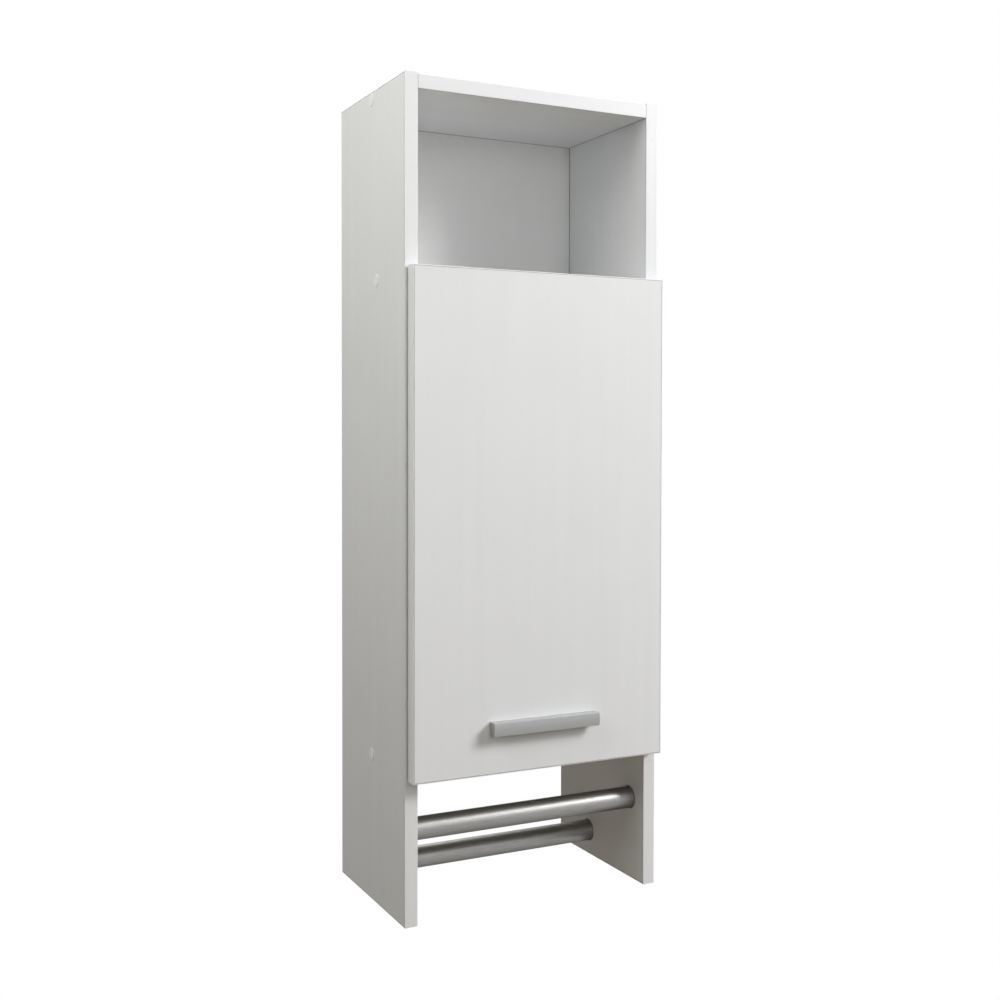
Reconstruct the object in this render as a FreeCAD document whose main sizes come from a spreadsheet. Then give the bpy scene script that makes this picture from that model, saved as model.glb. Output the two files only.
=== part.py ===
import FreeCAD
import Part
import Sketcher
import math
import os
import re
from FreeCAD import Placement, Rotation, Vector

# Wall-mounted bathroom cabinet: an open bay over a cupboard with one door on concealed
# hinges, and side panels that run on down to carry two towel rails.
# X runs left to right, Y from the front to the wall, Z up. The origin lies on the wall
# plane, midway between the entry holes of the two wall hangers.

# Driving dimensions, in millimetres and degrees
DIMENSIONS = {
    # carcass
    "cabinet_width": 313,
    "panel_height": 900,
    "carcass_depth": 194,
    "board": 15,
    "edging": 1,
    "edging_round": 0.7,
    "top_recess": 1.5,
    "open_bay_height": 185.5,
    "leg_height": 156,
    "back_thickness": 3,
    "back_recess": 15,
    "groove_depth": 6,
    "groove_play": 0.4,
    "groove_end_play": 0.5,
    "shelf_play": 0.2,
    "strip_play": 0.4,
    # screws, caps and dowels that join the boards
    "screw_setback": 97,
    "shelf_screw_setback": 82.5,
    "joint_head_diameter": 10,
    "joint_head_height": 4,
    "joint_shank_diameter": 7,
    "joint_core_diameter": 5,
    "joint_screw_length": 48,
    "joint_screw_point": 3,
    "screw_sink": 0.5,
    "hole_play": 0.05,
    "cap_diameter": 14,
    "cap_height": 0.6,
    "cap_bevel": 0.35,
    "dowel_diameter": 8,
    "dowel_length": 30,
    "dowel_in_panel": 10,
    "dowel_bevel": 1,
    "dowel_end_play": 0.5,
    "front_dowel_setback": 40,
    "rear_dowel_setback": 150,
    # adjustable shelf
    "inner_shelf_setback": 22,
    "inner_shelf_play": 0.5,
    "pin_diameter": 5,
    "pin_in_panel": 8,
    "pin_reach": 9,
    "pin_collar_diameter": 8,
    "pin_collar_width": 1.2,
    "pin_pitch": 32,
    "front_pin_setback": 48,
    "rear_pin_setback": 140,
    # towel rails
    "rail_diameter": 25,
    "rail_wall": 1.2,
    "socket_depth": 10,
    "socket_play": 0.7,
    "rail_end_play": 0.3,
    "front_rail_setback": 31,
    "front_rail_height": 94.5,
    "rear_rail_setback": 125,
    "rear_rail_height": 29.5,
    # wall hangers
    "hanger_drop": 40,
    "hanger_hole_inset": 21.5,
    "hanger_sheet": 2,
    "hanger_width": 36,
    "hanger_height": 44,
    "hanger_flange": 13,
    "hanger_bend": 1.5,
    "entry_hole_diameter": 10,
    "hook_slot_width": 5,
    "hook_slot_rise": 10,
    "hanger_screw_spread": 28,
    "hanger_screw_setback": 8,
    # door
    "door_reveal": 2.8,
    "door_gap": 2,
    "door_thickness": 15,
    "buffer_diameter": 8,
    "buffer_height": 1.7,
    "buffer_inset": 30,
    # handle
    "handle_length": 130,
    "handle_height": 14.5,
    "handle_reach": 12,
    "handle_rise": 50.4,
    "handle_top_wall": 2.6,
    "handle_front_wall": 2.2,
    "handle_end_wall": 2.5,
    "handle_round": 0.6,
    "handle_crown": 0.8,
    "handle_hole_spacing": 96,
    "handle_boss_diameter": 7,
    "handle_boss_drop": 6,
    "handle_screw_diameter": 4,
    "handle_screw_grip": 7,
    "handle_screw_head": 8,
    "handle_screw_head_height": 2.2,
    # concealed hinges
    "hinge_inset": 90,
    "cup_diameter": 35,
    "cup_depth": 11.5,
    "cup_edge": 4.5,
    "cup_wall": 0.8,
    "cup_play": 0.1,
    "cup_flange": 0.9,
    "cup_rim": 1.6,
    "cup_wing_width": 13,
    "cup_screw_spacing": 48,
    "cup_screw_offset": 6,
    "cup_notch_depth": 4,
    "cup_notch_width": 15.8,
    "cup_notch_start": 9.9,
    "cup_ear_gap": 16,
    "cup_ear_width": 1.6,
    "cup_ear_length": 4,
    "cup_ear_back": 1.7,
    "cup_ear_top": 2.2,
    "outer_arm_across": 6.7,
    "outer_arm_deep": 2.6,
    "inner_arm_across": 11.6,
    "inner_arm_deep": 7.5,
    "outer_cup_across": 11.9,
    "outer_cup_deep": 4.7,
    "inner_tip_across": 5.9,
    "inner_tip_deep": 3.1,
    "link_pin_diameter": 2.4,
    "pin_seat_play": 0.02,
    "outer_link_width": 6.8,
    "outer_link_sheet": 1.5,
    "outer_link_bow": 4,
    "outer_link_eye": 4.4,
    "inner_link_width": 11.2,
    "inner_link_gap": 7.6,
    "inner_link_height": 2.6,
    "inner_link_eye": 4.2,
    "inner_tip_eye": 3.4,
    "inner_tip_hole": 1.6,
    "arm_width": 15,
    "arm_sheet": 1.5,
    "arm_eye": 4.8,
    "arm_top": 8,
    "arm_nose": 6,
    "arm_shoulder": 12,
    "arm_rear": 60,
    "plate_height": 6,
    "plate_setback": 37,
    "plate_wing_sheet": 2,
    "plate_wing_width": 18,
    "plate_screw_spacing": 32,
    "plate_rib_length": 30,
    "plate_fixing_bite": 4,
    "fixing_offset": 7,
    "adjusting_offset": 9,
    # small pan-head screws
    "small_head_diameter": 6.4,
    "small_head_height": 1.8,
    "head_bevel": 0.5,
    "recess_width": 1,
    "recess_share": 0.55,
    "small_shank_diameter": 3.5,
    "small_screw_length": 11,
    "fixing_head_diameter": 8,
    "fixing_head_height": 2,
    "fixing_shank_diameter": 4,
}

doc = FreeCAD.newDocument("BathroomCabinet")
sheet = doc.addObject("Spreadsheet::Sheet", "Dimensions")
for row, (alias, size) in enumerate(DIMENSIONS.items(), start=1):
    sheet.set(f"A{row}", alias.replace("_", " "))
    sheet.set(f"B{row}", str(size))
    sheet.setAlias(f"B{row}", alias)
doc.recompute()

ALIAS = re.compile(r"\b(" + "|".join(DIMENSIONS) + r")\b")
nodes = {}


def bind(feature, prop, formula):
    """Tie a property to a formula in the names of the driving dimensions."""
    feature.setExpression(prop, ALIAS.sub(r"Dimensions.\1", formula))


def size_of(formula):
    """Value of a formula in the names of the driving dimensions."""
    return float(sheet.evalExpression(ALIAS.sub(r"Dimensions.\1", formula)))


def place(feature, at, rotation=None):
    """Turn a feature, then tie its position to three formulas."""
    feature.Placement = Placement(Vector(), rotation or Rotation())
    for axis, formula in zip("xyz", at):
        bind(feature, f"Placement.Base.{axis}", formula)


def node(label, feature):
    """Name a finished sub-part."""
    feature.Label = label
    nodes[label] = feature
    return feature


def box(name, at, size):
    """A block from its lowest corner and its size along X, Y and Z."""
    block = doc.addObject("Part::Box", name)
    for prop, formula in zip(("Length", "Width", "Height"), size):
        bind(block, prop, formula)
    place(block, at)
    return block


DIRECTIONS = {
    "+X": Vector(1, 0, 0),
    "-X": Vector(-1, 0, 0),
    "+Y": Vector(0, 1, 0),
    "-Y": Vector(0, -1, 0),
    "+Z": Vector(0, 0, 1),
}


def along(direction):
    """Rotation that lays the local Z axis along a direction."""
    return Rotation(Vector(0, 0, 1), DIRECTIONS[direction])


def rod(name, at, direction, diameter, length):
    """A round bar or drill path from its start point."""
    bar = doc.addObject("Part::Cylinder", name)
    bind(bar, "Radius", f"({diameter}) / 2")
    bind(bar, "Height", length)
    place(bar, at, along(direction))
    return bar


def fuse(name, shapes):
    """Join solids into one."""
    joined = doc.addObject("Part::MultiFuse", name)
    joined.Shapes = shapes
    return joined


def cut(name, base, tools):
    """Take one or more tools away from a base."""
    tool = tools[0] if len(tools) == 1 else fuse(f"{name}_tools", tools)
    result = doc.addObject("Part::Cut", name)
    result.Base = base
    result.Tool = tool
    return result


def group(name, members):
    """Separate solids that share one node."""
    compound = doc.addObject("Part::Compound", name)
    compound.Links = members
    return compound


def new_sketch(body, name, plane):
    """An empty sketch on one of its body's origin planes."""
    sketch = body.newObject("Sketcher::SketchObject", name)
    support = next(item for item in body.Origin.OriginFeatures if item.Role == plane)
    sketch.AttachmentSupport = [(support, "")]
    sketch.MapMode = "FlatFace"
    return sketch


def pin_point(sketch, geometry, end, across, up):
    """Tie one point of a sketch to two formulas."""
    drawn = sketch.getPoint(geometry, end)
    for kind, start, formula in (("DistanceX", drawn.x, across), ("DistanceY", drawn.y, up)):
        index = sketch.addConstraint(Sketcher.Constraint(kind, geometry, end, start))
        bind(sketch, f"Constraints[{index}]", formula)


def outline(body, name, plane, points, crown=None):
    """A closed outline through points given as formulas; its closing side may be crowned."""
    sketch = new_sketch(body, name, plane)
    drawn = [Vector(size_of(across), size_of(up), 0) for across, up in points]
    sides = [Part.LineSegment(drawn[i - 1], drawn[i]) for i in range(len(drawn))]
    if crown:
        chord = drawn[0] - drawn[-1]
        bulge = Vector(chord.y, -chord.x, 0).normalize() * size_of(crown)
        sides[0] = Part.ArcOfCircle(drawn[-1], drawn[-1] + chord / 2 + bulge, drawn[0])
    sketch.addGeometry(sides)
    for i, (across, up) in enumerate(points):
        sketch.addConstraint(Sketcher.Constraint("Coincident", i, 2, (i + 1) % len(points), 1))
        pin_point(sketch, i, 2, across, up)
    return sketch


def circles(body, name, plane, rounds):
    """Circles given by the formulas of their centre and diameter."""
    sketch = new_sketch(body, name, plane)
    for i, (across, up, diameter) in enumerate(rounds):
        sketch.addGeometry(Part.Circle(Vector(0, 0, 0), Vector(0, 0, 1), 1.0))
        pin_point(sketch, i, 3, across, up)
        index = sketch.addConstraint(Sketcher.Constraint("Radius", i, sketch.Geometry[i].Radius))
        bind(sketch, f"Constraints[{index}]", f"({diameter}) / 2")
    return sketch


def pad(body, sketch, thickness):
    """Thicken a sketch equally to both sides of its plane."""
    feature = body.newObject("PartDesign::Pad", f"{sketch.Name}_pad")
    feature.Profile = sketch
    feature.SideType = "Symmetric"
    bind(feature, "Length", thickness)
    return feature


def round_corners(body, padded, corners, radius):
    """Round the corners of a padded outline, picked by their places on the sketch plane."""
    doc.recompute()
    picked = []
    for index, edge in enumerate(padded.Shape.Edges, start=1):
        ends = [Vector(end.X, end.Y, 0) for end in edge.Vertexes]
        if any(all(corner.isEqual(end, edge.Tolerance) for end in ends) for corner in corners):
            picked.append(f"Edge{index}")
    rounding = body.newObject("PartDesign::Fillet", f"{body.Name}_rounding")
    rounding.Base = (padded, picked)
    bind(rounding, "Radius", radius)


def pocket(body, sketch, thickness):
    """Cut a sketch away equally to both sides of its plane."""
    feature = body.newObject("PartDesign::Pocket", f"{sketch.Name}_pocket")
    feature.Profile = sketch
    feature.SideType = "Symmetric"
    bind(feature, "Length", thickness)
    return feature


def turned(name, profile, at, direction):
    """A turned piece: radius and distance along its axis, from the given start point."""
    body = doc.addObject("PartDesign::Body", name)
    sketch = outline(body, f"{name}_profile", "XZ_Plane", profile)
    spin = body.newObject("PartDesign::Revolution", f"{name}_spin")
    spin.Profile = sketch
    spin.ReferenceAxis = (sketch, ["V_Axis"])
    spin.Angle = 360
    place(body, at, along(direction))
    return body


def pan_screw(name, at, direction, head, head_height, shank, length):
    """A screw whose head sits on the start point and whose shank runs along the direction."""
    profile = [
        ("0", f"-{head_height}"),
        (f"{head} / 2 - head_bevel", f"-{head_height}"),
        (f"{head} / 2", f"head_bevel - {head_height}"),
        (f"{head} / 2", "0"),
        (f"{shank} / 2", "0"),
        (f"{shank} / 2", length),
        ("0", length),
    ]
    screw = turned(name, profile, at, direction)
    reach = f"{head} * recess_share"
    for turn, span in enumerate(((reach, "recess_width"), ("recess_width", reach))):
        slot = screw.newObject("PartDesign::SubtractiveBox", f"{name}_recess_{turn}")
        bind(slot, "Length", span[0])
        bind(slot, "Width", span[1])
        bind(slot, "Height", f"{head_height} * recess_share")
        place(slot, (f"-({span[0]}) / 2", f"-({span[1]}) / 2", f"-{head_height}"))
    return screw


# Levels and planes that the pieces share
INNER = "(cabinet_width / 2 - board)"
FRONT = "(-carcass_depth)"
FOOT = "(hanger_drop - panel_height)"
TOP_UNDER = "(hanger_drop - top_recess - board)"
SHELF_TOP = f"({TOP_UNDER} - open_bay_height)"
SHELF_UNDER = f"({SHELF_TOP} - board)"
BOTTOM_UNDER = f"({FOOT} + leg_height)"
BOTTOM_TOP = f"({BOTTOM_UNDER} + board)"
BACK_FACE = "(-back_recess - back_thickness)"
INNER_SHELF_ROW = f"(({BOTTOM_TOP} + {SHELF_UNDER}) / 2)"
DOOR_BACK = f"({FRONT} - door_gap)"
DOOR_FRONT = f"({DOOR_BACK} - door_thickness)"
DOOR_LEFT = "(-cabinet_width / 2 + door_reveal)"
DOOR_WIDTH = "(cabinet_width - 2 * door_reveal)"
DOOR_HEIGHT = f"({SHELF_TOP} - {BOTTOM_UNDER})"
CUP_CENTRE = f"({DOOR_LEFT} + cup_edge + cup_diameter / 2)"
HINGE_LEVELS = {
    "upper": f"({SHELF_TOP} - hinge_inset)",
    "lower": f"({BOTTOM_UNDER} + hinge_inset)",
}
SIDES = {"left": -1, "right": 1}
OUTWARD = {"left": "-X", "right": "+X"}
INWARD = {"left": "+X", "right": "-X"}

# Horizontal boards that are screwed and dowelled between the side panels, by mid-height
BOARD_LEVELS = {
    "top": f"({TOP_UNDER} + board / 2)",
    "shelf": f"({SHELF_UNDER} + board / 2)",
    "bottom": f"({BOTTOM_UNDER} + board / 2)",
}
SCREW_SETBACKS = {"top": "screw_setback", "shelf": "shelf_screw_setback", "bottom": "screw_setback"}
DOWEL_SETBACKS = ("front_dowel_setback", "rear_dowel_setback")
RAILS = {
    "front": ("front_rail_setback", "front_rail_height"),
    "rear": ("rear_rail_setback", "rear_rail_height"),
}
PIN_SETBACKS = ("front_pin_setback", "rear_pin_setback")
PIN_ROWS = range(-2, 3)


# Edging strips: plastic bands glued to the cut edges of the boards, rounded on the outside
ARRISES = {
    ("Z", "-Y"): ("Edge1", "Edge5"),
    ("Y", "-Z"): ("Edge4", "Edge8"),
    ("Y", "+Z"): ("Edge2", "Edge6"),
    ("X", "-Y"): ("Edge9", "Edge10"),
    ("Z", "-X"): ("Edge1", "Edge3"),
    ("Z", "+X"): ("Edge5", "Edge7"),
    ("X", "-Z"): ("Edge9", "Edge11"),
    ("X", "+Z"): ("Edge10", "Edge12"),
}


def strip(name, at, size, run, outside):
    """One edging strip with its two outer arrises rounded."""
    body = doc.addObject("PartDesign::Body", name)
    band = body.newObject("PartDesign::AdditiveBox", f"{name}_band")
    for prop, formula in zip(("Length", "Width", "Height"), size):
        bind(band, prop, formula)
    doc.recompute()
    rounding = body.newObject("PartDesign::Fillet", f"{name}_rounding")
    rounding.Base = (band, list(ARRISES[run, outside]))
    bind(rounding, "Radius", "edging_round")
    place(body, at)
    return body


# Side panels: faced chipboard with a stopped groove for the back, blind sockets for the
# rails, screw and dowel holes for the boards and two columns of shelf-pin holes
def side_panel(side):
    sign = SIDES[side]
    outer_x = f"({sign} * cabinet_width / 2)"
    inner_x = f"({sign} * {INNER})"
    low_x = outer_x if side == "left" else inner_x
    board_at = (low_x, f"{FRONT} + edging", f"{FOOT} + edging")
    core = box(f"{side}_core", board_at, ("board", "carcass_depth - edging", "panel_height - 2 * edging"))
    groove_x = f"{inner_x} - groove_depth" if side == "left" else inner_x
    groove_at = (groove_x, f"{BACK_FACE} - groove_play", f"{BOTTOM_TOP} - groove_depth")
    groove_top = f"{TOP_UNDER} + groove_depth"
    groove_size = (
        "groove_depth",
        "back_thickness + 2 * groove_play",
        f"{groove_top} - {BOTTOM_TOP} + groove_depth",
    )
    tools = [box(f"{side}_groove", groove_at, groove_size)]
    for level, middle in BOARD_LEVELS.items():
        name = f"{side}_{level}"
        screw_y = f"{FRONT} + {SCREW_SETBACKS[level]}"
        shank_hole = "joint_shank_diameter + 2 * hole_play"
        shank_at = (inner_x, screw_y, middle)
        tools.append(rod(f"{name}_screw_hole", shank_at, OUTWARD[side], shank_hole, "board"))
        head_hole = "joint_head_diameter + 2 * hole_play"
        sink = "joint_head_height + screw_sink"
        tools.append(rod(f"{name}_head_hole", (outer_x, screw_y, middle), INWARD[side], head_hole, sink))
        for setback in DOWEL_SETBACKS:
            at = (inner_x, f"{FRONT} + {setback}", middle)
            hole = "dowel_diameter + 2 * hole_play"
            depth = "dowel_in_panel + dowel_end_play"
            tools.append(rod(f"{name}_{setback}_hole", at, OUTWARD[side], hole, depth))
    for rail, (setback, height) in RAILS.items():
        at = (inner_x, f"{FRONT} + {setback}", f"{FOOT} + {height}")
        bore = "rail_diameter + 2 * socket_play"
        tools.append(rod(f"{side}_{rail}_socket", at, OUTWARD[side], bore, "socket_depth"))
    for setback in PIN_SETBACKS:
        for step in PIN_ROWS:
            at = (inner_x, f"{FRONT} + {setback}", f"{INNER_SHELF_ROW} + {step} * pin_pitch")
            name = f"{side}_{setback}_{step + len(PIN_ROWS)}"
            bore = "pin_diameter + 2 * hole_play"
            tools.append(rod(name, at, OUTWARD[side], bore, "pin_in_panel + hole_play"))
    pilot = "small_shank_diameter + 2 * hole_play"
    pilot_depth = "small_screw_length - hanger_sheet + hole_play"
    for end in (-1, 1):
        at = (inner_x, "-hanger_screw_setback", f"{end} * hanger_screw_spread / 2")
        tools.append(rod(f"{side}_hanger_pilot_{end + 1}", at, OUTWARD[side], pilot, pilot_depth))
    if side == "left":
        depth = "small_screw_length - plate_wing_sheet + hole_play"
        for hinge, level in HINGE_LEVELS.items():
            for end in (-1, 1):
                at = (inner_x, f"{FRONT} + plate_setback", f"{level} + {end} * plate_screw_spacing / 2")
                tools.append(rod(f"{hinge}_plate_pilot_{end + 1}", at, OUTWARD[side], pilot, depth))
    node(f"{side}_side_panel", cut(f"{side}_panel", core, tools))

    strips = [
        strip(
            f"{side}_front_strip",
            (low_x, FRONT, FOOT),
            ("board", "edging", "panel_height"),
            "Z",
            "-Y",
        ),
        strip(
            f"{side}_foot_strip",
            (low_x, f"{FRONT} + edging", FOOT),
            ("board", "carcass_depth - edging", "edging"),
            "Y",
            "-Z",
        ),
        strip(
            f"{side}_head_strip",
            (low_x, f"{FRONT} + edging", "hanger_drop - edging"),
            ("board", "carcass_depth - edging", "edging"),
            "Y",
            "+Z",
        ),
    ]
    node(f"{side}_side_edging", group(f"{side}_edging", strips))


for side_name in SIDES:
    side_panel(side_name)


# Horizontal boards: top panel, fixed shelf and bottom panel, with holes in both ends and,
# at the top and bottom, the groove that takes the back panel
def board_end_holes(level):
    """Core holes for the joint screws and holes for the dowels, in both ends of a board."""
    middle = BOARD_LEVELS[level]
    holes = []
    for side, sign in SIDES.items():
        inner_x = f"{sign} * {INNER}"
        name = f"{level}_{side}"
        at = (inner_x, f"{FRONT} + {SCREW_SETBACKS[level]}", middle)
        bore = "joint_core_diameter + 2 * hole_play"
        reach = "joint_screw_length + screw_sink - board + hole_play"
        holes.append(rod(f"{name}_core_hole", at, INWARD[side], bore, reach))
        for setback in DOWEL_SETBACKS:
            at = (inner_x, f"{FRONT} + {setback}", middle)
            bore = "dowel_diameter + 2 * hole_play"
            reach = "dowel_length - dowel_in_panel + dowel_end_play"
            holes.append(rod(f"{name}_{setback}", at, INWARD[side], bore, reach))
    return holes


def front_strip(name, under, half_width, front, label):
    """Edging along the front of a board, stopping just short of its ends."""
    at = (f"-{half_width} + strip_play", front, under)
    band = strip(name, at, (f"2 * ({half_width} - strip_play)", "edging", "board"), "X", "-Y")
    node(label, band)


GROOVE_WIDTH = "back_thickness + 2 * groove_play"
BOARDS = {
    "top": ("top_panel", TOP_UNDER, "carcass_depth - edging", TOP_UNDER),
    "shelf": ("fixed_shelf", SHELF_UNDER, f"{BACK_FACE} - {FRONT} - edging - shelf_play", None),
    "bottom": ("bottom_panel", BOTTOM_UNDER, "carcass_depth - edging", f"{BOTTOM_TOP} - groove_depth"),
}
for level, (label, under, depth, groove_level) in BOARDS.items():
    core = box(f"{level}_core", (f"-{INNER}", f"{FRONT} + edging", under), (f"2 * {INNER}", depth, "board"))
    tools = board_end_holes(level)
    if groove_level:
        groove_at = (f"-{INNER}", f"{BACK_FACE} - groove_play", groove_level)
        tools.append(box(f"{level}_groove", groove_at, (f"2 * {INNER}", GROOVE_WIDTH, "groove_depth")))
    node(label, cut(f"{level}_board", core, tools))
    front_strip(f"{level}_strip", under, INNER, FRONT, f"{label}_edging")

# Back panel: thin hardboard slid into the grooves of the sides, the top and the bottom
BACK_OVERLAP = "(groove_depth - groove_end_play)"
back_at = (f"-{INNER} - {BACK_OVERLAP}", BACK_FACE, f"{BOTTOM_TOP} - {BACK_OVERLAP}")
back_size = (
    f"2 * ({INNER} + {BACK_OVERLAP})",
    "back_thickness",
    f"{TOP_UNDER} - {BOTTOM_TOP} + 2 * {BACK_OVERLAP}",
)
node("back_panel", box("back", back_at, back_size))

# Joint screws, the caps that cover their heads, and dowels
screw_profile = [
    ("0", "0"),
    ("joint_head_diameter / 2", "0"),
    ("joint_shank_diameter / 2", "joint_head_height"),
    ("joint_shank_diameter / 2", "board - screw_sink"),
    ("joint_core_diameter / 2", "board - screw_sink"),
    ("joint_core_diameter / 2", "joint_screw_length - joint_screw_point"),
    ("0", "joint_screw_length"),
]
cap_profile = [
    ("0", "0"),
    ("cap_diameter / 2", "0"),
    ("cap_diameter / 2", "cap_height - cap_bevel"),
    ("cap_diameter / 2 - cap_bevel", "cap_height"),
    ("0", "cap_height"),
]
dowel_profile = [
    ("0", "0"),
    ("dowel_diameter / 2 - dowel_bevel", "0"),
    ("dowel_diameter / 2", "dowel_bevel"),
    ("dowel_diameter / 2", "dowel_length - dowel_bevel"),
    ("dowel_diameter / 2 - dowel_bevel", "dowel_length"),
    ("0", "dowel_length"),
]
joint_screws = []
cover_caps = []
dowels = []
for side, sign in SIDES.items():
    outer_x = f"({sign} * cabinet_width / 2)"
    for level, middle in BOARD_LEVELS.items():
        name = f"{side}_{level}"
        screw_y = f"{FRONT} + {SCREW_SETBACKS[level]}"
        head_at = (f"{outer_x} - {sign} * screw_sink", screw_y, middle)
        joint_screws.append(turned(f"{name}_joint_screw", screw_profile, head_at, INWARD[side]))
        cover_caps.append(turned(f"{name}_cap", cap_profile, (outer_x, screw_y, middle), OUTWARD[side]))
        for setback in DOWEL_SETBACKS:
            at = (f"{sign} * ({INNER} + dowel_in_panel)", f"{FRONT} + {setback}", middle)
            dowels.append(turned(f"{name}_{setback}_dowel", dowel_profile, at, INWARD[side]))
node("joint_screws", group("joint_screw_set", joint_screws))
node("screw_cover_caps", group("cover_cap_set", cover_caps))
node("wooden_dowels", group("dowel_set", dowels))

# Adjustable shelf on four plug-in pins
INNER_SHELF_UNDER = f"({INNER_SHELF_ROW} + pin_diameter / 2 + hole_play)"
INNER_SHELF_HALF = f"({INNER} - pin_collar_width - inner_shelf_play)"
INNER_SHELF_FRONT = f"({FRONT} + inner_shelf_setback)"
shelf_at = (f"-{INNER_SHELF_HALF}", f"{INNER_SHELF_FRONT} + edging", INNER_SHELF_UNDER)
shelf_depth = f"{BACK_FACE} - {INNER_SHELF_FRONT} - edging - inner_shelf_play"
node("adjustable_shelf", box("inner_shelf", shelf_at, (f"2 * {INNER_SHELF_HALF}", shelf_depth, "board")))
front_strip(
    "inner_shelf_strip",
    INNER_SHELF_UNDER,
    INNER_SHELF_HALF,
    INNER_SHELF_FRONT,
    "adjustable_shelf_edging",
)
pin_profile = [
    ("0", "-pin_in_panel"),
    ("pin_diameter / 2", "-pin_in_panel"),
    ("pin_diameter / 2", "0"),
    ("pin_collar_diameter / 2", "0"),
    ("pin_collar_diameter / 2", "pin_collar_width"),
    ("pin_diameter / 2", "pin_collar_width"),
    ("pin_diameter / 2", "pin_reach"),
    ("0", "pin_reach"),
]
shelf_pins = []
for side, sign in SIDES.items():
    for setback in PIN_SETBACKS:
        at = (f"{sign} * {INNER}", f"{FRONT} + {setback}", INNER_SHELF_ROW)
        shelf_pins.append(turned(f"{side}_{setback}_pin", pin_profile, at, INWARD[side]))
node("shelf_pins", group("shelf_pin_set", shelf_pins))

# Towel rails: satin tubes whose ends stand in the sockets of the side panels
RAIL_HALF = f"({INNER} + socket_depth - rail_end_play)"
for rail, (setback, height) in RAILS.items():
    at = (f"-{RAIL_HALF}", f"{FRONT} + {setback}", f"{FOOT} + {height}")
    tube = rod(f"{rail}_tube", at, "+X", "rail_diameter", f"2 * {RAIL_HALF}")
    bore = rod(f"{rail}_bore", at, "+X", "rail_diameter - 2 * rail_wall", f"2 * {RAIL_HALF}")
    node(f"{rail}_towel_rail", cut(f"{rail}_rail", tube, [bore]))

# Wall hangers: bent steel angles screwed to the side panels behind the back panel, with a
# keyhole each for a wall screw
hanger_screws = []
for side, sign in SIDES.items():
    body = doc.addObject("PartDesign::Body", f"{side}_angle")
    inward = -sign
    angle = [
        ("0", "0"),
        (f"{inward} * hanger_width", "0"),
        (f"{inward} * hanger_width", "-hanger_sheet"),
        (f"{inward} * hanger_sheet", "-hanger_sheet"),
        (f"{inward} * hanger_sheet", "-hanger_flange"),
        ("0", "-hanger_flange"),
    ]
    bent = pad(body, outline(body, f"{side}_angle_profile", "XY_Plane", angle), "hanger_height")
    round_corners(body, bent, [Vector()], "hanger_bend")
    place(body, (f"{sign} * {INNER}", "0", "0"))
    hole_x = f"{sign} * ({INNER} - hanger_hole_inset)"
    slot_at = (f"{hole_x} - hook_slot_width / 2", "-hanger_sheet", "0")
    tools = [
        rod(f"{side}_entry", (hole_x, "0", "0"), "-Y", "entry_hole_diameter", "hanger_sheet"),
        rod(f"{side}_seat", (hole_x, "0", "hook_slot_rise"), "-Y", "hook_slot_width", "hanger_sheet"),
        box(f"{side}_slot", slot_at, ("hook_slot_width", "hanger_sheet", "hook_slot_rise")),
    ]
    for end in (-1, 1):
        flange_x = f"{sign} * ({INNER} - hanger_sheet)"
        at = (flange_x, "-hanger_screw_setback", f"{end} * hanger_screw_spread / 2")
        bore = "small_shank_diameter + 2 * hole_play"
        tools.append(rod(f"{side}_flange_hole_{end + 1}", at, OUTWARD[side], bore, "hanger_sheet"))
        hanger_screws.append(
            pan_screw(
                f"{side}_hanger_screw_{end + 1}",
                at,
                OUTWARD[side],
                "small_head_diameter",
                "small_head_height",
                "small_shank_diameter",
                "small_screw_length",
            )
        )
    node(f"{side}_wall_hanger", cut(f"{side}_hanger", body, tools))
node("hanger_screws", group("hanger_screw_set", hanger_screws))


# Door: faced chipboard with edging all round, bored from behind for the hinge cups, their
# screws and the handle screws
HANDLE_LEVEL = f"({BOTTOM_UNDER} + handle_rise)"
HANDLE_TOP = f"({HANDLE_LEVEL} + handle_height / 2)"
HANDLE_HOLE_LEVEL = f"({HANDLE_TOP} - handle_boss_drop)"
door_core = box(
    "door_core",
    (f"{DOOR_LEFT} + edging", DOOR_FRONT, f"{BOTTOM_UNDER} + edging"),
    (f"{DOOR_WIDTH} - 2 * edging", "door_thickness", f"{DOOR_HEIGHT} - 2 * edging"),
)
door_tools = []
for hinge, level in HINGE_LEVELS.items():
    bore_at = (CUP_CENTRE, DOOR_BACK, level)
    door_tools.append(rod(f"{hinge}_cup_bore", bore_at, "-Y", "cup_diameter", "cup_depth"))
    for end in (-1, 1):
        at = (f"{CUP_CENTRE} + cup_screw_offset", DOOR_BACK, f"{level} + {end} * cup_screw_spacing / 2")
        bore = "small_shank_diameter + 2 * hole_play"
        depth = "small_screw_length - cup_flange + hole_play"
        door_tools.append(rod(f"{hinge}_cup_pilot_{end + 1}", at, "-Y", bore, depth))
for end in (-1, 1):
    at = (f"{end} * handle_hole_spacing / 2", DOOR_BACK, HANDLE_HOLE_LEVEL)
    bore = "handle_screw_diameter + 2 * hole_play"
    door_tools.append(rod(f"handle_hole_{end + 1}", at, "-Y", bore, "door_thickness"))
node("door_panel", cut("door_board", door_core, door_tools))

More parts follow.
